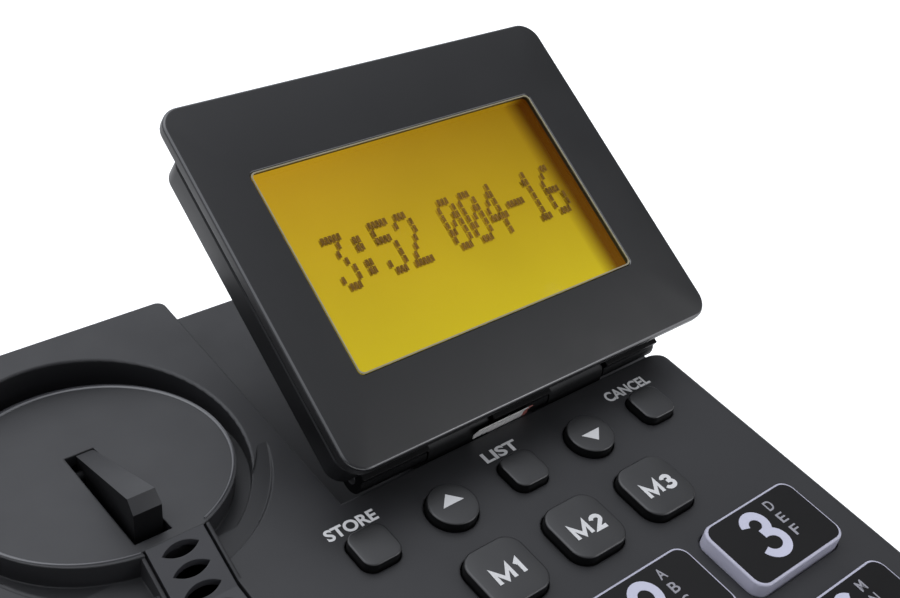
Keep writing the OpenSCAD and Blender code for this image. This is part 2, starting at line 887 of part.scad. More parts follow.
// Sockets in the bottom half's walls
module at_line() { part() translate([line_x, body_d / 2, floor_h]) children(); }
module at_power() { part() translate([power_x, body_d / 2, floor_h]) children(); }
module at_handset() { part() translate([left_x, handset_y, floor_h]) rotate([0, 0, 90]) children(); }
module jack_block(w, grow) {
    translate([-w / 2 - grow, -jack_d, 0])
        cube([w + 2 * grow, jack_d + (grow > 0 ? cut : 0), jack_h + grow]);
}
module jack_holes() {
    at_line() jack_block(jack_w, fit_gap);
    at_power() jack_block(power_w, fit_gap);
    at_handset() jack_block(jack_w, fit_gap);
}
module jack() {
    difference() {
        jack_block(jack_w, 0);
        translate([-socket_w / 2, -socket_d, socket_z]) cube([socket_w, socket_d + cut, socket_h]);
        translate([-latch_w / 2, -socket_d, socket_z - latch_h])
            cube([latch_w, socket_d + cut, latch_h + cut]);
    }
}
module line_jack() { color("black") at_line() jack(); }
module handset_jack() { color("black") at_handset() jack(); }
module power_inlet() {
    color("black") at_power() {
        difference() {
            jack_block(power_w, 0);
            translate([0, cut, jack_h / 2]) rotate([90, 0, 0])
                cylinder(r = power_bore_r, h = socket_d + cut);
        }
        translate([0, -2, jack_h / 2]) rotate([90, 0, 0]) cylinder(r = power_pin_r, h = socket_d - 1);
    }
}

// Display
module bezel_outline(inset, r) {
    translate([display_w / 2, display_hgt / 2])
        rounded_rect(display_w - 2 * inset, display_hgt - 2 * inset, r);
}
module window_outline(grow) {
    translate([window_from_left - grow, window_from_bottom - grow])
        square([window_w + 2 * grow, window_hgt + 2 * grow]);
}
module back_outline(inset) {
    translate([display_w / 2, inset + (display_hgt - back_short - inset) / 2])
        rounded_rect(display_w - 2 * inset, display_hgt - back_short - inset, back_r);
}
module display_bezel() {
    color("dimgray") on_display() difference() {
        slab(-bezel_t, 0) bezel_outline(0, bezel_r);
        slab(-bezel_t - cut, cut) window_outline(0);
        slab(-bezel_t - cut, -bezel_face_t) window_outline(lens_border + fit_gap);
    }
}
module display_lens() {
    color("khaki") on_display() slab(-bezel_t, -bezel_face_t) window_outline(lens_border);
}
module lcd_panel() {
    color("goldenrod") on_display() slab(-bezel_t - panel_t, -bezel_t) window_outline(panel_border);
}
module backlight() {
    color("gold") on_display() slab(-bezel_t - panel_t - light_t, -bezel_t - panel_t)
        window_outline(panel_border);
}
module display_board() {
    color("darkgreen") on_display() slab(-display_t + back_wall, -bezel_t - panel_t - light_t)
        window_outline(panel_border + 2);
}
module display_back() {
    color("dimgray") on_display() difference() {
        union() {
            slab(-display_t, -bezel_t - groove_t) back_outline(back_inset);
            slab(-bezel_t - groove_t, -bezel_t) back_outline(groove_inset);
        }
        slab(-display_t + back_wall, cut) window_outline(panel_border + 2 + fit_gap);
    }
}
module knuckles(first) {
    for (i = [first : 2 : knuckle_count - 1])
        translate([hinge_x0 + i * (knuckle_len + side_gap), 0, 0]) children();
}
module display_hinge() {
    color("black") on_hinge() rotate([display_tilt, 0, 0])
        difference() {
            knuckles(0) {
                bar_x(0, knuckle_len, barrel_r);
                translate([0, -arm_below, 0]) cube([knuckle_len, arm_below + barrel_r, barrel_behind]);
            }
            bar_x(-far, far, hinge_pin_r + running_gap);
        }
}
module hinge_mount() {
    color("black") on_hinge() difference() {
        knuckles(1) {
            bar_x(0, knuckle_len, barrel_r);
            translate([0, -barrel_r, -notch_depth - hinge_rise])
                cube([knuckle_len, 2 * barrel_r, notch_depth + hinge_rise]);
        }
        bar_x(-far, far, hinge_pin_r + running_gap);
    }
}
module hinge_pin() {
    color("silver") on_hinge() bar_x(hinge_x0, hinge_x1, hinge_pin_r);
}

top_case();
bottom_case();
case_screws();
rubber_feet();
key_1();
key_2();
key_3();
key_4();
key_5();
key_6();
key_7();
key_8();
key_9();
key_star();
key_0();
key_hash();
memory_key_1();
memory_key_2();
memory_key_3();
ok_key();
up_key();
set_key();
down_key();
clear_key();
speaker_key();
flash_key();
redial_key();
boost_key();
key_mat();
main_board();
board_screws();
volume_pot();
volume_wheel();
tone_pot();
tone_slider();
hook_lever();
hook_pin();
hook_switch();
grille();
speaker_basket();
speaker_cone();
microphone();
line_jack();
handset_jack();
power_inlet();
display_bezel();
display_back();
display_lens();
lcd_panel();
backlight();
display_board();
display_hinge();
hinge_mount();
hinge_pin();
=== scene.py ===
"""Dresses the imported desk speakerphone: keys, display, lettering, finishes and light.

The frame's axes are used throughout: metres, +X right, +Y back, +Z up. Lengths that
are written here are millimetres and are turned into metres by MM. Only the floor, the
lamps and the camera's near limit are written in metres.
"""

import json
import math

import bmesh
import bpy
from mathutils import Matrix, Vector


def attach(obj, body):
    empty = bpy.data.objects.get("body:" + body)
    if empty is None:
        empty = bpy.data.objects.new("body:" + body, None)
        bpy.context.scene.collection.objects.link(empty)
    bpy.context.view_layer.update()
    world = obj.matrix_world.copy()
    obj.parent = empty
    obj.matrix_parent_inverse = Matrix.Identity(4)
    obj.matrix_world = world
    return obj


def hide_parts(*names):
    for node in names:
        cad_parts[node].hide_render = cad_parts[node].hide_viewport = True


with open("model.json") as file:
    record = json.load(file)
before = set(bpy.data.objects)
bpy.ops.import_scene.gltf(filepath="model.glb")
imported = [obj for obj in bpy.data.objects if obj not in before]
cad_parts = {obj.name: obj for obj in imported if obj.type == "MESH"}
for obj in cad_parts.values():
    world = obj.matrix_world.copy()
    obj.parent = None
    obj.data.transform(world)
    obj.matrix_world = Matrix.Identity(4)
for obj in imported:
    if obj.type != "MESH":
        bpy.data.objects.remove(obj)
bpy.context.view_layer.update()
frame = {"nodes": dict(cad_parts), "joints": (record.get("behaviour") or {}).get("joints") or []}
nodes = frame["nodes"]
MM = 0.001

# The photograph's camera, in the deck's frame: place in millimetres, angles in degrees
CAMERA_AT = (-131.4, -79.11, 195.31)
CAMERA_TURN = 47.37
CAMERA_DOWN = 38.47
CAMERA_ROLL = 12.62
CAMERA_FOCUS_PX = 1288.46
PHOTO_WIDTH_PX = 900
SENSOR = 36
CAMERA_NEAR = 0.01

# How finely round shapes are cut: steps to a quarter turn, degrees to a bow's step, steps to a
# letter's curve. Edges up to SMOOTH_ANGLE are shaded smooth.
CORNER_STEPS = 10
EDGE_STEPS = 5
BOW_STEP = 12
LETTER_STEPS = 6
SMOOTH_ANGLE = 35


def srgb(red, green, blue):
    """A colour read off a screen, 0 to 255 a channel, as linear RGBA."""
    def linear(value):
        value /= 255
        return value / 12.92 if value <= 0.04045 else ((value + 0.055) / 1.055) ** 2.4
    return (linear(red), linear(green), linear(blue), 1)


# Frames on the object

# How nearly a face looks up from the deck to be part of it, and how far off its level its points lie
DECK_LEAN = 0.9999
DECK_ROOM = 0.02
# How far up the lens's front looks at least
LENS_LEAN = 0.5


def axes_matrix(origin, x_axis, y_axis, z_axis):
    return Matrix.Translation(origin) @ Matrix((x_axis, y_axis, z_axis)).transposed().to_4x4()


def joint(name):
    return next(j for j in frame["joints"] if j["name"] == name)


def spans(points):
    """Lowest and highest value of points along x, y and z."""
    return [(min(p[i] for p in points), max(p[i] for p in points)) for i in range(3)]


def deck_frame():
    """Right, back along the slope and up from the deck, from the deck's middle."""
    right = Vector((1, 0, 0))
    up = -Vector(joint("key_5_press")["axis"]).normalized()
    back = up.cross(right)
    turn = Matrix((right, back, up))
    case = nodes["top_case"].data
    areas = {}
    for face in case.polygons:
        if face.normal.dot(up) > DECK_LEAN:
            height = round(face.center.dot(up) / MM, 2)
            areas[height] = areas.get(height, 0) + face.area
    level = max(areas, key=areas.get) * MM
    points = [turn @ v.co for v in case.vertices]
    (x0, x1), (y0, y1), _ = spans([p for p in points if abs(p.z - level) < DECK_ROOM * MM])
    middle = Vector(((x0 + x1) / 2, (y0 + y1) / 2, level))
    return axes_matrix(turn.transposed() @ middle, right, back, up)


def display_frame():
    """Right, up the face and out of the bezel, from its bottom left corner."""
    lens = nodes["display_lens"].data
    facing = max((p for p in lens.polygons if p.normal.z > LENS_LEAN), key=lambda p: p.area)
    right = Vector((1, 0, 0))
    out = facing.normal.normalized()
    up = out.cross(right)
    turn = Matrix((right, up, out))
    (x0, _), (y0, _), (_, z1) = spans([turn @ v.co for v in nodes["display_bezel"].data.vertices])
    return axes_matrix(turn.transposed() @ Vector((x0, y0, z1)), right, up, out)


DECK = deck_frame()
FACE = display_frame()


def seen_from(matrix, node):
    """A node's points in another frame."""
    to_local = matrix.inverted()
    return [to_local @ v.co for v in nodes[node].data.vertices]


# Shapes

def outline(width, depth, radius, middle=(0, 0)):
    """A rounded rectangle's corners and arcs, always with the same number of points."""
    points = []
    for quarter, (sx, sy) in enumerate([(1, 1), (-1, 1), (-1, -1), (1, -1)]):
        cx = middle[0] + sx * (width / 2 - radius)
        cy = middle[1] + sy * (depth / 2 - radius)
        for step in range(CORNER_STEPS + 1):
            angle = (quarter + step / CORNER_STEPS) * math.pi / 2
            points.append((cx + radius * math.cos(angle), cy + radius * math.sin(angle)))
    return points


def ring(shape, level):
    return [Vector((x, y, level)) for x, y in shape]


def rounded_edge(shape_at, level, radius, outward=1):
    """Rings round a quarter circle, from the side up to the face at a level.

    shape_at(inset) gives the outline at a distance inside the side."""
    rings = []
    for step in range(EDGE_STEPS + 1):
        angle = step / EDGE_STEPS * math.pi / 2
        inset = radius * (1 - math.cos(angle))
        drop = radius * (1 - math.sin(angle))
        rings.append(ring(shape_at(inset), level - outward * drop))
    return rings


def loft(rings, closed=False, mesh=None):
    """A solid through rings of equally many points, capped unless it closes on itself."""
    if mesh is None:
        mesh = bmesh.new()
    verts = [[mesh.verts.new(p) for p in points] for points in rings]
    count = len(rings[0])
    pairs = list(zip(verts, verts[1:]))
    if closed:
        pairs.append((verts[-1], verts[0]))
    for low, high in pairs:
        for i in range(count):
            j = (i + 1) % count
            mesh.faces.new((low[i], low[j], high[j], high[i]))
    if not closed:
        mesh.faces.new(reversed(verts[0]))
        mesh.faces.new(verts[-1])
    bmesh.ops.recalc_face_normals(mesh, faces=mesh.faces)
    return mesh


def boxes(places, low, high):
    """Flat blocks, each (x0, y0, x1, y1), between two levels."""
    mesh = bmesh.new()
    for x0, y0, x1, y1 in places:
        corners = [(x0, y0), (x1, y0), (x1, y1), (x0, y1)]
        bottom = [mesh.verts.new((x, y, low)) for x, y in corners]
        top = [mesh.verts.new((x, y, high)) for x, y in corners]
        mesh.faces.new(reversed(bottom))
        mesh.faces.new(top)
        for i in range(4):
            j = (i + 1) % 4
            mesh.faces.new((bottom[i], bottom[j], top[j], top[i]))
    return mesh


def prism(shape, low, high):
    """A flat shape raised between two levels."""
    return loft([ring(shape, low), ring(shape, high)])


def piece(name, mesh, matrix, material, body, stands_for=()):
    """Makes an object from a mesh in millimetres and sets it on a CAD body."""
    data = bpy.data.meshes.new(name)
    mesh.to_mesh(data)
    mesh.free()
    data.transform(Matrix.Scale(MM, 4))
    data.shade_smooth()
    data.set_sharp_from_angle(angle=math.radians(SMOOTH_ANGLE))
    data.materials.append(material)
    obj = bpy.data.objects.new(name, data)
    bpy.context.scene.collection.objects.link(obj)
    obj.matrix_world = matrix
    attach(obj, body)
    if stands_for:
        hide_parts(*stands_for)
    return obj


def letters(text, width, height, middle, level, thick, bold):
    """Lettering of that size in millimetres, centred on a point."""
    curve = bpy.data.curves.new("letters", "FONT")
    curve.body = text
    curve.align_x = "CENTER"
    curve.offset = bold
    curve.extrude = 0.5
    curve.resolution_u = LETTER_STEPS
    holder = bpy.data.objects.new("letters", curve)
    bpy.context.scene.collection.objects.link(holder)
    bpy.context.view_layer.update()
    flat = bpy.data.meshes.new_from_object(holder.evaluated_get(bpy.context.evaluated_depsgraph_get()))
    bpy.data.objects.remove(holder)
    bpy.data.curves.remove(curve)
    mesh = bmesh.new()
    mesh.from_mesh(flat)
    bpy.data.meshes.remove(flat)
    bmesh.ops.remove_doubles(mesh, verts=mesh.verts, dist=1e-5)
    (x0, x1), (y0, y1), _ = spans([v.co for v in mesh.verts])
    for v in mesh.verts:
        v.co.x = middle[0] + ((v.co.x - x0) / (x1 - x0) - 0.5) * width
        v.co.y = middle[1] + ((v.co.y - y0) / (y1 - y0) - 0.5) * height
        v.co.z = level + (v.co.z + 0.5) * thick
    return mesh


def bow(cx, cy, rx, ry, start, end):
    """Points along an ellipse between two angles."""
    steps = max(2, round(abs(end - start) / BOW_STEP))
    angles = [math.radians(start + (end - start) * i / steps) for i in range(steps + 1)]
    return [(cx + rx * math.cos(a), cy + ry * math.sin(a)) for a in angles]


SIX = bow(0.55, 0.5, 0.55, 0.5, 55, 180) + bow(0.5, 0.3, 0.5, 0.3, 180, 530)
# Each figure's strokes along their middle lines, in a box one wide and one tall
STROKES = {
    "0": [bow(0.5, 0.5, 0.5, 0.5, 0, 360)],
    "1": [[(0.0, 0.78), (0.62, 1.0), (0.62, 0.0)]],
    "2": [bow(0.5, 0.72, 0.48, 0.28, 170, -30) + [(0.0, 0.0), (1.0, 0.0)]],
    "3": [bow(0.46, 0.765, 0.44, 0.235, 170, -100), bow(0.46, 0.265, 0.54, 0.265, 100, -170)],
    "4": [[(0.72, 0.0), (0.72, 1.0), (0.0, 0.3), (1.0, 0.3)]],
    "5": [[(0.92, 1.0), (0.16, 1.0), (0.08, 0.52)] + bow(0.47, 0.33, 0.53, 0.33, 125, -155)],
    "6": [SIX],
    "7": [[(0.0, 1.0), (1.0, 1.0), (0.35, 0.0)]],
    "8": [bow(0.5, 0.76, 0.42, 0.24, 0, 360), bow(0.5, 0.26, 0.5, 0.26, 0, 360)],
    "9": [[(1 - x, 1 - y) for x, y in SIX]],
    "*": [[(0.5, 0.0), (0.5, 1.0)], [(0.07, 0.25), (0.93, 0.75)], [(0.07, 0.75), (0.93, 0.25)]],
    "#": [[(0.3, 0.0), (0.3, 1.0)], [(0.7, 0.0), (0.7, 1.0)],
          [(0.0, 0.33), (1.0, 0.33)], [(0.0, 0.67), (1.0, 0.67)]],
    "M": [[(0.0, 0.0), (0.0, 1.0), (0.5, 0.15), (1.0, 1.0), (1.0, 0.0)]],
}


# Keeps the mitre at a sharp corner within 2.5 half strokes
MITRE_LEAST = 0.4


def ribbon(path, stroke, low, high, mesh):
    """A band of even width along a path, square at its ends and mitred at its corners."""
    points = [Vector(p) for p in path]
    closed = (points[0] - points[-1]).length < 1e-6
    if closed:
        points.pop()
    rings = []
    for i, point in enumerate(points):
        before = points[i - 1] if closed or i else point
        after = points[(i + 1) % len(points)] if closed or i + 1 < len(points) else point
        ways = [w.normalized() for w in (point - before, after - point) if w.length > 1e-6]
        along = sum(ways, Vector((0, 0))).normalized()
        half = Vector((-along.y, along.x)) * stroke / 2 / max(along.dot(ways[0]), MITRE_LEAST)
        a, b = point - half, point + half
        rings.append([Vector((*a, low)), Vector((*b, low)), Vector((*b, high)), Vector((*a, high))])
    return loft(rings, closed, mesh)


FIGURE_THICK = 0.06
# Each stroke of a figure lies this much over the one before, so that no two tops share a plane
STROKE_STEP = 0.012


def figures(text, widths, height, stroke, gap, middle, level):
    """Heavy lettering drawn in bands, each figure of its own width in millimetres."""
    mesh = None
    left = middle[0] - (sum(widths) + gap * (len(text) - 1)) / 2
    for figure, width in zip(text, widths):
        for order, path in enumerate(STROKES[figure]):
            placed = [(left + stroke / 2 + x * (width - stroke), middle[1] + (y - 0.5) * (height - stroke))
                      for x, y in path]
            mesh = ribbon(placed, stroke, level, level + FIGURE_THICK + order * STROKE_STEP, mesh)
        left += width + gap
    return mesh


# Finishes

# Cells of noise in a metre, for slow shifts of shade and quicker shifts of gloss
SHADE_CELLS = 35
GLOSS_CELLS = 90
GLOSS_SHIFT = 0.08
# Between these values lies most of a noise
NOISE_SPAN = (0.3, 0.7)
# Painted side shade: how far a face leans up, a side below the first value, a top above the second
SIDE_SHADE_SPAN = (0.25, 0.6)
GRAIN_DEPTH = 0.1
# How far red, green and blue light spreads in a milky keycap
KEYCAP_DEPTH = (1.2, 1.2, 1.4)
# The lens's tint, how much it bends light, its most haze, and the haze's cells of noise in a metre
LENS_TINT = (0.98, 0.97, 0.94, 1)
LENS_BEND = 1.08
LENS_HAZE = 0.03
HAZE_CELLS = 60
WHITE = (1, 1, 1, 1)


def add(tree, kind, **settings):
    made = tree.nodes.new(kind)
    for key, value in settings.items():
        setattr(made, key, value)
    return made


def noise(tree, coords, scale, detail=2.0):
    """A value that wanders over an object, with scale cells in a metre."""
    made = add(tree, "ShaderNodeTexNoise")
    made.inputs["Scale"].default_value = scale
    made.inputs["Detail"].default_value = detail
    tree.links.new(coords.outputs["Object"], made.inputs["Vector"])
    return made.outputs["Fac"]


def ramp(tree, source, places, colours):
    """A colour that runs from one to another while a value runs between two places."""
    made = add(tree, "ShaderNodeValToRGB")
    for element, place, colour in zip(made.color_ramp.elements, places, colours):
        element.position = place
        element.color = colour
    tree.links.new(source, made.inputs["Fac"])
    return made.outputs["Color"]


def mottled(tree, source, colour, amount):
    """A colour that turns darker and lighter with a noise."""
    shades = [tuple(c * (1 + k * amount) for c in colour[:3]) + (1,) for k in (-1, 1)]
    return ramp(tree, source, NOISE_SPAN, shades)


def span(tree, source, low, high, to_low=0.0, to_high=1.0):
    """A value carried from one range to another and held at its ends."""
    made = add(tree, "ShaderNodeMapRange")
    for socket, value in (("From Min", low), ("From Max", high), ("To Min", to_low), ("To Max", to_high)):
        made.inputs[socket].default_value = value
    tree.links.new(source, made.inputs["Value"])
    return made.outputs["Result"]


def finish(name):
    material = bpy.data.materials.new(name)
    material.use_nodes = True
    tree = material.node_tree
    return material, tree, tree.nodes["Principled BSDF"], add(tree, "ShaderNodeTexCoord")


def multiplied(tree, colour, shade):
    """One colour times another, or times a value."""
    mix = add(tree, "ShaderNodeMix", data_type="RGBA", blend_type="MULTIPLY")
    mix.inputs["Factor"].default_value = 1
    tree.links.new(colour, mix.inputs["A"])
    tree.links.new(shade, mix.inputs["B"])
    return mix.outputs["Result"]


def plastic(name, colour, rough, specular=0.5, mottle=0.12, grain=0.03, grain_mm=0.35, edge_mm=0.0,
            shaded_sides=1.0):
    """Moulded plastic: slow shifts of shade and gloss, and a fine moulded grain.

    edge_mm softens the sharp edges of a CAD solid where they catch the light. The last argument
    is painted shade: how bright the upright sides are painted next to the top."""
    material, tree, shader, coords = finish(name)
    base = mottled(tree, noise(tree, coords, SHADE_CELLS, 3), colour, mottle)
    # The upright sides are painted darker than the top: painted shade
    if shaded_sides < 1:
        facing = add(tree, "ShaderNodeSeparateXYZ")
        tree.links.new(coords.outputs["Normal"], facing.inputs["Vector"])
        lean = facing.outputs["Z"]
        base = multiplied(tree, base, span(tree, lean, *SIDE_SHADE_SPAN, shaded_sides, 1.0))
        tree.links.new(span(tree, lean, *SIDE_SHADE_SPAN, shaded_sides * specular, specular),
                       shader.inputs["Specular IOR Level"])
    tree.links.new(base, shader.inputs["Base Color"])
    quick = noise(tree, coords, GLOSS_CELLS, 4)
    smoothest, roughest = rough * (1 - GLOSS_SHIFT), rough * (1 + GLOSS_SHIFT)
    tree.links.new(span(tree, quick, *NOISE_SPAN, smoothest, roughest), shader.inputs["Roughness"])
    shader.inputs["Specular IOR Level"].default_value = specular
    bump = add(tree, "ShaderNodeBump")
    bump.inputs["Strength"].default_value = grain
    bump.inputs["Distance"].default_value = GRAIN_DEPTH * MM
    tree.links.new(noise(tree, coords, 1 / (grain_mm * MM)), bump.inputs["Height"])
    if edge_mm:
        bevel = add(tree, "ShaderNodeBevel", samples=4)
        bevel.inputs["Radius"].default_value = edge_mm * MM
        tree.links.new(bevel.outputs["Normal"], bump.inputs["Normal"])
    tree.links.new(bump.outputs["Normal"], shader.inputs["Normal"])
    return material


def translucent(name, colour, glow):
    """Milky keycap plastic that lets some light through."""
    material = plastic(name, colour, 0.35, 0.4, mottle=0.05, grain=0.02)
    shader = material.node_tree.nodes["Principled BSDF"]
    shader.inputs["Subsurface Weight"].default_value = glow
    shader.inputs["Subsurface Radius"].default_value = [depth * MM for depth in KEYCAP_DEPTH]
    return material


def metal(name, colour, rough):
    material = plastic(name, colour, rough, mottle=0.06, grain=0.04, grain_mm=0.2, edge_mm=0.1)
    material.node_tree.nodes["Principled BSDF"].inputs["Metallic"].default_value = 1
    return material


def clear_lens(name):
    """Clear acrylic with a faint haze."""
    material, tree, shader, coords = finish(name)
    shader.inputs["Base Color"].default_value = LENS_TINT
    shader.inputs["Transmission Weight"].default_value = 1
    shader.inputs["IOR"].default_value = LENS_BEND
    haze = span(tree, noise(tree, coords, HAZE_CELLS), *NOISE_SPAN, 0.0, LENS_HAZE)
    tree.links.new(haze, shader.inputs["Roughness"])
    return material


# Colours of the lit LCD, what dims its top right corner, the painted shade of the window's right wall on
# its right edge, and how far in that shade reaches
LCD_BOTTOM = srgb(196, 177, 36)
LCD_TOP = srgb(180, 141, 28)
LCD_CORNER = (0.56, 0.54, 0.3, 1)
LCD_WALL_SHADE = (0.24, 0.12, 0.2, 1)
LCD_WALL_SHADE_REACH = 5
LCD_UNLIT = (0.02, 0.015, 0.004, 1)
# How much its blotches dim and brighten it, and their cells of noise in a metre
LCD_BLOTCH = 0.03
BLOTCH_CELLS = 45


def lit_panel(name, left, bottom, width, height, edge):
    """The lit LCD: amber at its top, yellow at its bottom, dimmer to the top right.

    edge is where the painted shade of the window's right wall, along its right side, is darkest."""
    material, tree, shader, coords = finish(name)
    place = add(tree, "ShaderNodeSeparateXYZ")
    tree.links.new(coords.outputs["Object"], place.inputs["Vector"])
    across = span(tree, place.outputs["X"], left * MM, (left + width) * MM)
    upward = span(tree, place.outputs["Y"], bottom * MM, (bottom + height) * MM)
    glow = ramp(tree, upward, (0, 1), (LCD_BOTTOM, LCD_TOP))
    corner = add(tree, "ShaderNodeMath", operation="MULTIPLY")
    tree.links.new(across, corner.inputs[0])
    tree.links.new(upward, corner.inputs[1])
    dim = ramp(tree, corner.outputs["Value"], (0, 1), (WHITE, LCD_CORNER))
    blotch = mottled(tree, noise(tree, coords, BLOTCH_CELLS), WHITE, LCD_BLOTCH)
    # Painted shade of the bezel's window wall, darkening the right side
    edgeward = span(tree, place.outputs["X"], (edge - LCD_WALL_SHADE_REACH) * MM, edge * MM)
    wall_shade = ramp(tree, edgeward, (0, 1), (WHITE, LCD_WALL_SHADE))
    for shade in (dim, blotch, wall_shade):
        glow = multiplied(tree, glow, shade)
    tree.links.new(glow, shader.inputs["Emission Color"])
    shader.inputs["Emission Strength"].default_value = 1.0
    shader.inputs["Specular IOR Level"].default_value = 0
    shader.inputs["Base Color"].default_value = LCD_UNLIT
    shader.inputs["Roughness"].default_value = 0.6
    return material


# Each plastic's colour, then its roughness and its shine
CASE = plastic("case_plastic", srgb(27, 27, 29), 0.5, 0.56, edge_mm=0.5)
GRILLE = plastic("grille_plastic", srgb(42, 42, 45), 0.5, 0.6, edge_mm=0.25)
# A real bead, painted lighter than the case it is moulded in: a painted highlight along the rest's edge
BEAD_HIGHLIGHT = plastic("bead_plastic_highlight", srgb(52, 52, 55), 0.3, 1.0)
# The lever's upright sides are painted darker: painted shade
LEVER = plastic("lever_plastic_shaded_sides", srgb(27, 27, 29), 0.5, 0.5, shaded_sides=0.25)
BEZEL = plastic("bezel_plastic", srgb(20, 20, 21), 0.4, 0.45)
BEZEL_POLISH = plastic("bezel_polish", srgb(24, 24, 25), 0.2, 1.0)
HOUSING = plastic("housing_plastic", srgb(14, 14, 15), 0.4, 0.2)
HINGE = plastic("hinge_plastic", srgb(8, 8, 9), 0.4, 0.15, edge_mm=0.2)
# The keys' upright sides are painted darker: painted shade
KEY_BLACK = plastic("key_plastic_shaded_sides", srgb(18, 18, 19), 0.42, 0.75, shaded_sides=0.3)
KEY_MILK = translucent("keycap_milk", srgb(170, 169, 183), 0.25)
KEY_PRINT = plastic("keycap_print", srgb(14, 13, 13), 0.3, 0.25)
DIGIT = plastic("digit_print", srgb(182, 182, 198), 0.45, 0.3, mottle=0.05)
WHITE_INK = plastic("white_ink", srgb(196, 196, 196), 0.5, 0.3, mottle=0.06)
GREY_INK = plastic("letter_ink", srgb(140, 139, 145), 0.5, 0.3, mottle=0.06)
CONTROL = plastic("control_plastic", srgb(28, 28, 30), 0.45, edge_mm=0.3)
RUBBER = plastic("foot_rubber", srgb(26, 26, 27), 0.8, 0.2, mottle=0.2, grain=0.15, grain_mm=0.5,
                 edge_mm=0.4)
SOCKET = plastic("socket_plastic", srgb(20, 20, 21), 0.5, edge_mm=0.15)
BOARD = plastic("board_laminate", srgb(22, 70, 40), 0.35, 0.5, mottle=0.25, grain=0.05)
MAT = plastic("mat_silicone", srgb(150, 150, 148), 0.7, 0.2, mottle=0.1, grain=0.05)
PAPER = plastic("cone_paper", srgb(22, 21, 20), 0.9, 0.1, mottle=0.3, grain=0.4, grain_mm=0.6)
STEEL = metal("steel", srgb(190, 190, 192), 0.3)
BLACK_STEEL = metal("black_steel", srgb(28, 28, 29), 0.45)
CABLE_GREY = plastic("cable_grey", srgb(205, 203, 200), 0.4, 0.4, mottle=0.2)
CABLE_RED = plastic("cable_red", srgb(150, 84, 78), 0.4, 0.4, mottle=0.1)
LENS = clear_lens("lens_clear")
# A pale band painted as the highlight of the lens's cut edge
LENS_EDGE_HIGHLIGHT = plastic("lens_edge_highlight", srgb(140, 134, 112), 0.3, 0.4, mottle=0.1)
LCD_DOT = plastic("lcd_dot", srgb(120, 88, 34), 0.6, 0.1)
LCD_SHADOW = plastic("lcd_shadow", srgb(165, 130, 26), 0.6, 0.1)
DIFFUSER = plastic("light_guide", srgb(210, 205, 190), 0.5, 0.4)

CAD_FINISH = {
    CASE: ["top_case", "bottom_case"],
    GRILLE: ["grille"],
    HINGE: ["display_hinge", "hinge_mount"],
    STEEL: ["case_screws", "board_screws", "hinge_pin", "speaker_basket", "microphone"],
    BLACK_STEEL: ["hook_pin"],
    RUBBER: ["rubber_feet"],
    BOARD: ["main_board", "display_board"],
    MAT: ["key_mat"],
    CONTROL: ["volume_wheel", "tone_slider", "hook_switch"],
    SOCKET: ["line_jack", "handset_jack", "power_inlet", "volume_pot", "tone_pot"],
    PAPER: ["speaker_cone"],
    DIFFUSER: ["backlight"],
    LENS: ["display_lens"],
}
for material, names in CAD_FINISH.items():
    for name in names:
        nodes[name].data.materials.clear()
        nodes[name].data.materials.append(material)


# Keys

def key_facts(node):
    """Middle, cap size and levels of a key in millimetres on the deck."""
    points = [p / MM for p in seen_from(DECK, node)]
    (x0, x1), (y0, y1), _ = spans([p for p in points if p.z > 0])
    levels = sorted({round(p.z, 3) for p in points})
    return ((x0 + x1) / 2, (y0 + y1) / 2), (x1 - x0, y1 - y0), levels


def key_place(middle):
    return DECK @ Matrix.Translation(Vector((middle[0], middle[1], 0)) * MM)


FLANGE = 1
PLUNGER = 5
SMALLEST_CORNER = 0.3
# Shares of the way out from a key's middle where its crowned top is cut
CROWN_SHARES = (0.75, 0.45, 0.15)


def key_solid(size, corner, levels, edge, crown):
    """A key from its plunger up: flange, straight side, rounded edge, crowned top."""
    plunger_low, flange_low, flange_high, top = levels
    width, depth = size
    def cap(inset):
        return outline(width - 2 * inset, depth - 2 * inset, max(corner - inset, SMALLEST_CORNER))
    plunger = outline(PLUNGER, PLUNGER, PLUNGER / 2)
    wide = outline(width + 2 * FLANGE, depth + 2 * FLANGE, corner + FLANGE)
    shoulder = top - crown
    rings = [ring(plunger, plunger_low), ring(plunger, flange_low),
             ring(wide, flange_low), ring(wide, flange_high), ring(cap(0), flange_high)]
    rings += rounded_edge(cap, shoulder, edge)
    for share in CROWN_SHARES:
        flat = [(x * share, y * share) for x, y in cap(edge)]
        rings.append(ring(flat, shoulder + crown * (1 - share ** 2)))
    return loft(rings)


def make_key(node, corner, edge, crown, material, slot):
    """Makes the key's body and returns its place and size for what is printed on it."""
    middle, size, levels = key_facts(node)
    place = key_place(middle)
    solid = key_solid(size, corner, levels, edge, crown)
    piece(node + "_cap", solid, place, material, node + "_body", [node])
    return place, size, levels[-1]


DIAL = {
    "key_1": ("1", ""), "key_2": ("2", "ABC"), "key_3": ("3", "DEF"),
    "key_4": ("4", "GHI"), "key_5": ("5", "JKL"), "key_6": ("6", "MNO"),
    "key_7": ("7", "PQRS"), "key_8": ("8", "TUV"), "key_9": ("9", "WXYZ"),
    "key_star": ("*", ""), "key_0": ("0", ""), "key_hash": ("#", ""),
}
# Corner, rounded edge and crown of each kind of key
DIAL_SHAPE = (3, 0.5, 0)
MEMORY_SHAPE = (4.0, 0.55, 0.2)
ARROW_SHAPE = (5.5, 0.4, 0.1)
MENU_SHAPE = (2.5, 0.4, 0.1)
FUNCTION_SHAPE = (2.5, 0.6, 0.15)

PRINT_INSET = 0.6
PRINT_CORNER = 2.64
PRINT_RISE = 0.08
PRINT_SINK = 0.02
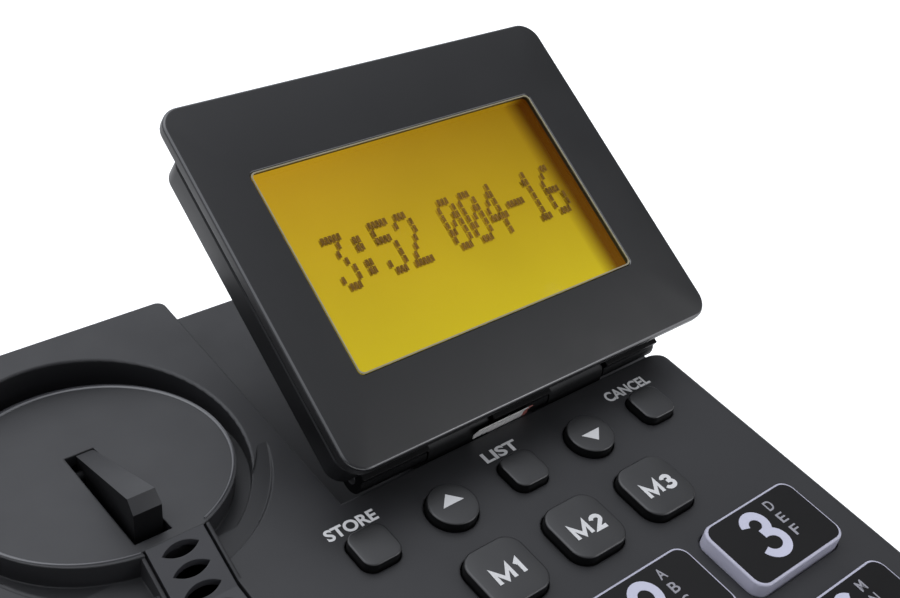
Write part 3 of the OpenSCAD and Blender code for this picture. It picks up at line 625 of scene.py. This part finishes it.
# Width, height and stroke of a digit
DIGIT_SIZE = (8.0, 12.4, 2.1)
ODD_SIZES = {"1": (4.6, 12.4, 2.1), "*": (6.5, 6.5, 1.2), "#": (8.0, 9.5, 1.1)}
DIGIT_AT = (-2.1, 0.6)
LETTER_WIDE = 2.0
LETTER_TALL = 2.5
LETTER_AT = (4.7, 5.4)
LETTER_THICK = 0.06
LETTER_BOLD = 0.01
# Distance from letter to letter, for three of them and for four
LETTER_PITCH = {3: 3.7, 4: 3.0}
for node, (digit, group) in DIAL.items():
    place, (width, depth), top = make_key(node, *DIAL_SHAPE, KEY_MILK, "dial_key")
    body = node + "_body"
    field = outline(width - 2 * PRINT_INSET, depth - 2 * PRINT_INSET, PRINT_CORNER)
    print_top = top + PRINT_RISE
    piece(node + "_print", prism(field, top - PRINT_SINK, print_top), place, KEY_PRINT, body)
    wide, tall, stroke = ODD_SIZES.get(digit, DIGIT_SIZE)
    piece(node + "_digit", figures(digit, [wide], tall, stroke, 0, DIGIT_AT, print_top),
          place, DIGIT, body)
    for i, letter in enumerate(group):
        spot = (LETTER_AT[0], LETTER_AT[1] - i * LETTER_PITCH[len(group)])
        piece(f"{node}_letter_{letter}",
              letters(letter, LETTER_WIDE, LETTER_TALL, spot, print_top, LETTER_THICK, LETTER_BOLD),
              place, GREY_INK, body)

MEMORY = {"memory_key_1": "M1", "memory_key_2": "M2", "memory_key_3": "M3"}
MARK_WIDE = {"M": 4.7, "1": 2.3, "2": 3.2, "3": 3.2}
MARK_TALL = 4.1
MARK_STROKE = 0.95
MARK_GAP = 0.7
MARK_AT = (0, -0.8)
MARK_SINK = 0.03
for node, text in MEMORY.items():
    place, _, top = make_key(node, *MEMORY_SHAPE, KEY_BLACK, "memory_key")
    widths = [MARK_WIDE[c] for c in text]
    mark = figures(text, widths, MARK_TALL, MARK_STROKE, MARK_GAP, MARK_AT, top - MARK_SINK)
    piece(node + "_mark", mark, place, WHITE_INK, node + "_body")

TRIANGLE_WIDE = 5.4
TRIANGLE_TALL = 2.8
TRIANGLE_BASE = -0.2
TRIANGLE_SINK = 0.05
TRIANGLE_RISE = 0.03
for node, facing in {"up_key": 1, "down_key": -1}.items():
    place, _, top = make_key(node, *ARROW_SHAPE, KEY_BLACK, "menu_key")
    half = TRIANGLE_WIDE / 2
    base, tip = facing * TRIANGLE_BASE, facing * (TRIANGLE_BASE + TRIANGLE_TALL)
    corners = [(-half, base), (half, base), (0, tip)]
    piece(node + "_mark", prism(corners, top - TRIANGLE_SINK, top + TRIANGLE_RISE), place,
          WHITE_INK, node + "_body")

# Each labelled key's word and its width
LABELS = {"ok_key": ("STORE", 12.2), "set_key": ("LIST", 9.6), "clear_key": ("CANCEL", 14)}
LABEL_TALL = 2.9
LABEL_AT = (0, 7.4)
LABEL_THICK = 0.03
LABEL_BOLD = 0.03
for node, (text, wide) in LABELS.items():
    place, _, _ = make_key(node, *MENU_SHAPE, KEY_BLACK, "menu_key")
    piece(node + "_label", letters(text, wide, LABEL_TALL, LABEL_AT, 0, LABEL_THICK, LABEL_BOLD),
          place, WHITE_INK, "base")

for node in ("speaker_key", "flash_key", "redial_key", "boost_key"):
    make_key(node, *FUNCTION_SHAPE, KEY_BLACK, "function_key")


# Display

def face_spans(node):
    return [(low / MM, high / MM) for low, high in spans(seen_from(FACE, node))]


BEZEL_CORNER = 5
BEZEL_EDGE = 0.8
# Its rounded edges are polished where they look this much to the front
POLISH_LEAN = (0.6, 0.95)
# The window's left, bottom, width and height on the face
WINDOW = (12.6, 18, 79.2, 48.7)
WINDOW_CORNER = 1.2
WINDOW_EDGE = 0.35
# Room round a piece that lies in a pocket, and the broken edge of a shell's rim
ROOM = 0.4
RIM_BREAK = 0.3
(_, bezel_w), (_, bezel_h), (bezel_back, _) = face_spans("display_bezel")
(lens_x0, lens_x1), (lens_y0, lens_y1), (_, lens_front) = face_spans("display_lens")
window_middle = (WINDOW[0] + WINDOW[2] / 2, WINDOW[1] + WINDOW[3] / 2)
bezel_middle = (bezel_w / 2, bezel_h / 2)


def bezel_shape(inset):
    return outline(bezel_w - 2 * inset, bezel_h - 2 * inset, BEZEL_CORNER - inset, bezel_middle)


def window_shape(grow):
    return outline(WINDOW[2] + 2 * grow, WINDOW[3] + 2 * grow, WINDOW_CORNER + max(grow, 0), window_middle)


pocket = outline(lens_x1 - lens_x0 + ROOM, lens_y1 - lens_y0 + ROOM, WINDOW_CORNER, window_middle)
bezel_rings = [ring(pocket, lens_front), ring(pocket, bezel_back),
               ring(bezel_shape(RIM_BREAK), bezel_back), ring(bezel_shape(0), bezel_back + RIM_BREAK)]
bezel_rings += rounded_edge(bezel_shape, 0, BEZEL_EDGE)
bezel_rings += [ring(window_shape(WINDOW_EDGE), 0), ring(window_shape(0), -WINDOW_EDGE),
                ring(window_shape(0), lens_front)]
bezel = piece("bezel", loft(bezel_rings, closed=True), FACE, BEZEL, "display", ["display_bezel"])
bezel.data.materials.append(BEZEL_POLISH)
for face in bezel.data.polygons:
    if POLISH_LEAN[0] < face.normal.z < POLISH_LEAN[1]:
        face.material_index = 1

BACK_CORNER = 4
BACK_EDGE = 0.9
GROOVE_IN = 1.2
GROOVE_T = 0.8
BOARD_CORNER = 1.0
# How far the housing goes past its solid on the left, almost to the bezel's edge, and stops short on
# the right
BACK_LEFT = 1.2
BACK_SHORT = 2
(back_x0, back_x1), (back_y0, back_y1), (back_low, back_high) = face_spans("display_back")
(board_x0, board_x1), (board_y0, board_y1), (board_low, _) = face_spans("display_board")
back_x0 -= BACK_LEFT
back_x1 -= BACK_SHORT
back_middle = ((back_x0 + back_x1) / 2, (back_y0 + back_y1) / 2)


def back_shape(inset):
    return outline(back_x1 - back_x0 - 2 * inset, back_y1 - back_y0 - 2 * inset,
                   BACK_CORNER - inset, back_middle)


board_room = outline(board_x1 - board_x0 + ROOM, board_y1 - board_y0 + ROOM, BOARD_CORNER, window_middle)
back_rings = [ring(board_room, board_low), ring(board_room, back_high),
              ring(back_shape(GROOVE_IN), back_high), ring(back_shape(GROOVE_IN), back_high - GROOVE_T),
              ring(back_shape(RIM_BREAK), back_high - GROOVE_T),
              ring(back_shape(0), back_high - GROOVE_T - RIM_BREAK)]
back_rings += rounded_edge(back_shape, back_low, BACK_EDGE, -1)
piece("display_housing", loft(back_rings), FACE, HOUSING, "display", ["display_back"])

(panel_x0, panel_x1), (panel_y0, panel_y1), (panel_low, panel_high) = face_spans("lcd_panel")
TRAY_FLOOR = 0.4
TRAY_CORNER = 0.6
TRAY_GROW = 0.3
GLASS_GROW = 0.25
GLASS_T = 0.1
# How far right and up of the window the LCD's colours run
GLOW_SHIFT = (3, 1)
glass_level = panel_low + TRAY_FLOOR
glow = lit_panel("lcd_glow", WINDOW[0] + GLOW_SHIFT[0], WINDOW[1] + GLOW_SHIFT[1], WINDOW[2], WINDOW[3],
                 WINDOW[0] + WINDOW[2])
tray_outer = outline(panel_x1 - panel_x0, panel_y1 - panel_y0, TRAY_CORNER, window_middle)
tray_inner = window_shape(TRAY_GROW)
tray_rings = [ring(tray_outer, panel_low), ring(tray_outer, panel_high),
              ring(tray_inner, panel_high), ring(tray_inner, glass_level)]
# The tray's walls round the window carry the LCD's glow: painted light from the backlight falling on them
piece("lcd_tray", loft(tray_rings), FACE, glow, "display", ["lcd_panel"])
glass = prism(window_shape(GLASS_GROW), glass_level, glass_level + GLASS_T)
piece("lcd_glass", glass, FACE, glow, "display")

# Each character's seven rows of five dots, as bits
DOTS = {
    "0": (14, 17, 19, 21, 25, 17, 14), "1": (4, 12, 4, 4, 4, 4, 14), "2": (14, 17, 1, 2, 4, 8, 31),
    "3": (31, 2, 4, 2, 1, 17, 14), "4": (2, 6, 10, 18, 31, 2, 2), "5": (31, 16, 30, 1, 1, 17, 14),
    "6": (6, 8, 16, 30, 17, 17, 14), ":": (0, 12, 12, 0, 12, 12, 0), "-": (0, 0, 0, 31, 0, 0, 0),
    " ": (0, 0, 0, 0, 0, 0, 0),
}
READOUT = "3:52 004-16"
DOT_PITCH = (1.04, 1.93)
DOT_GAP = 0.26
CHAR_PITCH = 6.2
READOUT_AT = (9.5, 18.3)
# How high over the glass the dots and their shadow lie, and how thick they are
DOT_OVER, DOT_T = 1.0, 0.05
SHADOW_OVER, SHADOW_T = 0.1, 0.04


def dot_places():
    """The readout's dots as blocks on the face."""
    places = []
    for i, character in enumerate(READOUT):
        for row, bits in enumerate(DOTS[character]):
            for column in range(5):
                if bits >> (4 - column) & 1:
                    x = WINDOW[0] + READOUT_AT[0] + i * CHAR_PITCH + column * DOT_PITCH[0]
                    y = WINDOW[1] + READOUT_AT[1] + (6 - row) * DOT_PITCH[1]
                    places.append((x, y, x + DOT_PITCH[0] - DOT_GAP, y + DOT_PITCH[1] - DOT_GAP))
    return places


for name, over, thick, ink in (("lcd_readout", DOT_OVER, DOT_T, LCD_DOT),
                               ("lcd_readout_shadow", SHADOW_OVER, SHADOW_T, LCD_SHADOW)):
    low = glass_level + over
    piece(name, boxes(dot_places(), low, low + thick), FACE, ink, "display")

# The lens's rim, a pale band painted as the highlight of the lens's cut edge: its levels, and how far
# inside the window it starts and ends
RIM_LOW, RIM_TOP = -0.3, -0.05
RIM_START, RIM_END = 0.02, 0.3
rim_outer, rim_inner = window_shape(-RIM_START), window_shape(-RIM_END)
rim_rings = [ring(rim_outer, RIM_LOW), ring(rim_outer, RIM_TOP),
             ring(rim_inner, RIM_TOP), ring(rim_inner, RIM_LOW)]
piece("lens_rim_highlight", loft(rim_rings, closed=True), FACE, LENS_EDGE_HIGHLIGHT, "display")


# Ribbon cable between the hinge's knuckles

CABLE_LEFT = 37.6
CABLE_STRANDS = 12
STRAND = 1.33
CABLE_T = 0.2
CABLE_GAP = 0.04
# Degrees round the hinge where the cable lies on it
CABLE_WRAP = range(192, 151, -10)
_, _, (barrel_low, arm_high) = face_spans("display_hinge")
hinge_at = (FACE.inverted() @ Vector(joint("display_tilt")["pos_m"])) / MM
cable_r = hinge_at.z - barrel_low + CABLE_GAP
# Where the cable runs, as a place and a way outward across the hinge, from low to high
cable_run = []
for angle in CABLE_WRAP:
    way = Vector((math.cos(math.radians(angle)), math.sin(math.radians(angle))))
    cable_run.append((Vector((hinge_at.y, hinge_at.z)) + cable_r * way, way))
cable_run.append((Vector((cable_run[-1][0].x, arm_high)), Vector((-1, 0))))


def cable(first, count):
    """Strands side by side, each a low round ridge, wrapped up the front of the hinge."""
    left = CABLE_LEFT + first * STRAND
    section = [(left, 0)]
    for i in range(count):
        section += bow(left + (i + 0.5) * STRAND, CABLE_T / 2, STRAND / 2, CABLE_T / 2, 180, 0)
    section.append((left + count * STRAND, 0))
    return loft([[Vector((x, *(place + out * way))) for x, out in section] for place, way in cable_run])


piece("ribbon_cable", cable(0, CABLE_STRANDS - 1), FACE, CABLE_GREY, "display")
piece("ribbon_cable_marked", cable(CABLE_STRANDS - 1, 1), FACE, CABLE_RED, "display")


# Earpiece rest's beaded edge

BEAD_W = 0.9
BEAD_SWELL = 0.55
BEAD_H = 0.25
BEAD_SINK = 0.01
BEAD_FROM = -69
BEAD_TO = 261
BEAD_STEP = 3
# How nearly the rest's plane faces as the deck does
REST_LEAN = (0.975, 0.995)


def rest_bead():
    """A fine half-round bead round the rest, widest at the back and open where the grille joins it."""
    deck_up = DECK.col[2].xyz
    case = nodes["top_case"].data
    planes = {}
    for face in case.polygons:
        if REST_LEAN[0] < face.normal.dot(deck_up) < REST_LEAN[1]:
            plane = (round(face.normal.y, 3), round(face.center.dot(face.normal) / MM, 1))
            planes.setdefault(plane, []).append(face)
    rest = max(planes.values(), key=lambda faces: sum(f.area for f in faces))
    up = max(rest, key=lambda f: f.area).normal.normalized()
    right = Vector((1, 0, 0))
    back = up.cross(right)
    turn = Matrix((right, back, up))
    (x0, x1), (_, y1), (_, level) = spans([turn @ case.vertices[i].co for f in rest for i in f.vertices])
    radius = (x1 - x0) / 2
    middle = turn.transposed() @ Vector(((x0 + x1) / 2, y1 - radius, level))
    rings = []
    for angle in range(BEAD_FROM, BEAD_TO + 1, BEAD_STEP):
        way = Vector((math.cos(math.radians(angle)), math.sin(math.radians(angle)), 0))
        half = BEAD_W * (1 + BEAD_SWELL * way.y) / 2
        rings.append([way * x + Vector((0, 0, z))
                      for x, z in bow(radius / MM - half, -BEAD_SINK, half, BEAD_H, 0, 180)])
    return loft(rings), axes_matrix(middle, right, back, up)


bead, bead_place = rest_bead()
piece("rest_bead", bead, bead_place, BEAD_HIGHLIGHT, "base")


# Hook lever

LEVER_EDGE = 0.5
LEVER_EDGE_STEPS = 4
# Degrees between two faces that count as one, and between two whose edge is eased
LEVER_FLAT = 1
LEVER_SHARP = 25


def lever():
    """The CAD lever's outline with its edges eased."""
    source = nodes["hook_lever"].data
    mesh = bmesh.new()
    mesh.from_mesh(source)
    bmesh.ops.remove_doubles(mesh, verts=mesh.verts, dist=1e-6)
    bmesh.ops.dissolve_limit(mesh, angle_limit=math.radians(LEVER_FLAT), verts=mesh.verts,
                             edges=mesh.edges)
    sharp = [e for e in mesh.edges if e.is_manifold and e.calc_face_angle() > math.radians(LEVER_SHARP)]
    bmesh.ops.bevel(mesh, geom=sharp, offset=LEVER_EDGE * MM, segments=LEVER_EDGE_STEPS, profile=0.5,
                    affect="EDGES", clamp_overlap=True)
    mesh.transform(Matrix.Scale(1 / MM, 4))
    return mesh


piece("hook_lever_body", lever(), Matrix.Identity(4), LEVER, "hook", ["hook_lever"])


# Stage, light and camera

FLOOR_SIZE = 6.0
FLOOR_GREY = (0.8, 0.8, 0.8, 1)
FLOOR_LIFT = 0.45
floor_mesh = bmesh.new()
bmesh.ops.create_grid(floor_mesh, x_segments=1, y_segments=1, size=FLOOR_SIZE / 2)
floor_data = bpy.data.meshes.new("floor")
floor_mesh.to_mesh(floor_data)
floor_mesh.free()
floor = bpy.data.objects.new("floor", floor_data)
bpy.context.scene.collection.objects.link(floor)


def seen_directly(tree):
    """1 for the camera, for reflections and through glass, 0 for light on surfaces."""
    path = add(tree, "ShaderNodeLightPath")
    first = add(tree, "ShaderNodeMath", operation="MAXIMUM")
    second = add(tree, "ShaderNodeMath", operation="MAXIMUM")
    tree.links.new(path.outputs["Is Camera Ray"], first.inputs[0])
    tree.links.new(path.outputs["Is Glossy Ray"], first.inputs[1])
    tree.links.new(first.outputs["Value"], second.inputs[0])
    tree.links.new(path.outputs["Is Transmission Ray"], second.inputs[1])
    return second.outputs["Value"]


floor_finish, floor_tree, floor_shader, _ = finish("floor_paper")
floor_shader.inputs["Base Color"].default_value = FLOOR_GREY
floor_shader.inputs["Roughness"].default_value = 0.9
floor_shader.inputs["Emission Color"].default_value = WHITE
floor_glow = span(floor_tree, seen_directly(floor_tree), 0, 1, 0, FLOOR_LIFT)
floor_tree.links.new(floor_glow, floor_shader.inputs["Emission Strength"])
floor_data.materials.append(floor_finish)

SKY_TINT = (0.95, 0.98, 1.05, 1)
# The room's soft glows: the way to each, the closeness to it where it starts and ends, and
# its strength there
GLOWS = [
    ((-0.35, 0.35, 0.87), 0.3, 1.0, 0.25, 2.05),
    ((0.6, 0.8, 0.0), 0.84, 0.97, 0.0, 1.2),
    ((0.6, -0.78, 0.17), 0.93, 0.99, 0.0, 2.5),
]
world = bpy.data.worlds.new("studio")
bpy.context.scene.world = world
world.use_nodes = True
sky = world.node_tree
background = sky.nodes["Background"]
background.inputs["Color"].default_value = SKY_TINT
view_way = add(sky, "ShaderNodeTexCoord").outputs["Generated"]
strength = background.inputs["Strength"]
for glow_way, *glow_span in GLOWS:
    near = add(sky, "ShaderNodeVectorMath", operation="DOT_PRODUCT")
    near.inputs[1].default_value = glow_way
    sky.links.new(view_way, near.inputs[0])
    total = add(sky, "ShaderNodeMath", operation="ADD")
    total.inputs[1].default_value = 0
    sky.links.new(span(sky, near.outputs["Value"], *glow_span), total.inputs[0])
    sky.links.new(total.outputs["Value"], strength)
    strength = total.inputs[1]
seen = add(sky, "ShaderNodeMixShader")
sky.links.new(add(sky, "ShaderNodeLightPath").outputs["Is Camera Ray"], seen.inputs["Fac"])
sky.links.new(background.outputs["Background"], seen.inputs[1])
white = add(sky, "ShaderNodeBackground")
white.inputs["Color"].default_value = WHITE
sky.links.new(white.outputs["Background"], seen.inputs[2])
sky.links.new(seen.outputs["Shader"], sky.nodes["World Output"].inputs["Surface"])

# Each square lamp's place, side and watts
SOFTBOXES = {
    "softbox_top": ((-0.25, 0.35, 1.15), 0.8, 1.0),
    "softbox_front": ((0.8, -0.65, 0.75), 0.5, 1.5),
    "softbox_low": ((0.7, -0.92, 0.3), 0.2, 0.6),
}
for name, (place, side, watts) in SOFTBOXES.items():
    data = bpy.data.lights.new(name, "AREA")
    data.shape = "SQUARE"
    data.size = side
    data.energy = watts
    lamp = bpy.data.objects.new(name, data)
    bpy.context.scene.collection.objects.link(lamp)
    lamp.location = place
    # It faces the object
    lamp.rotation_euler = (-lamp.location).to_track_quat("-Z", "Y").to_euler()

turn, down, roll = (math.radians(a) for a in (CAMERA_TURN, CAMERA_DOWN, CAMERA_ROLL))
forward = Vector((math.sin(turn) * math.cos(down), math.cos(turn) * math.cos(down), -math.sin(down)))
level_right = Vector((math.cos(turn), -math.sin(turn), 0))
level_up = level_right.cross(forward)
right = level_right * math.cos(roll) + level_up * math.sin(roll)
up = level_up * math.cos(roll) - level_right * math.sin(roll)
camera_data = bpy.data.cameras.new("camera")
camera_data.sensor_width = SENSOR
camera_data.lens = CAMERA_FOCUS_PX / PHOTO_WIDTH_PX * SENSOR
camera_data.clip_start = CAMERA_NEAR
camera = bpy.data.objects.new("camera", camera_data)
bpy.context.scene.collection.objects.link(camera)
camera.matrix_world = DECK @ axes_matrix(Vector(CAMERA_AT) * MM, right, up, -forward)
bpy.context.scene.camera = camera
bpy.context.scene.view_settings.view_transform = "Standard"
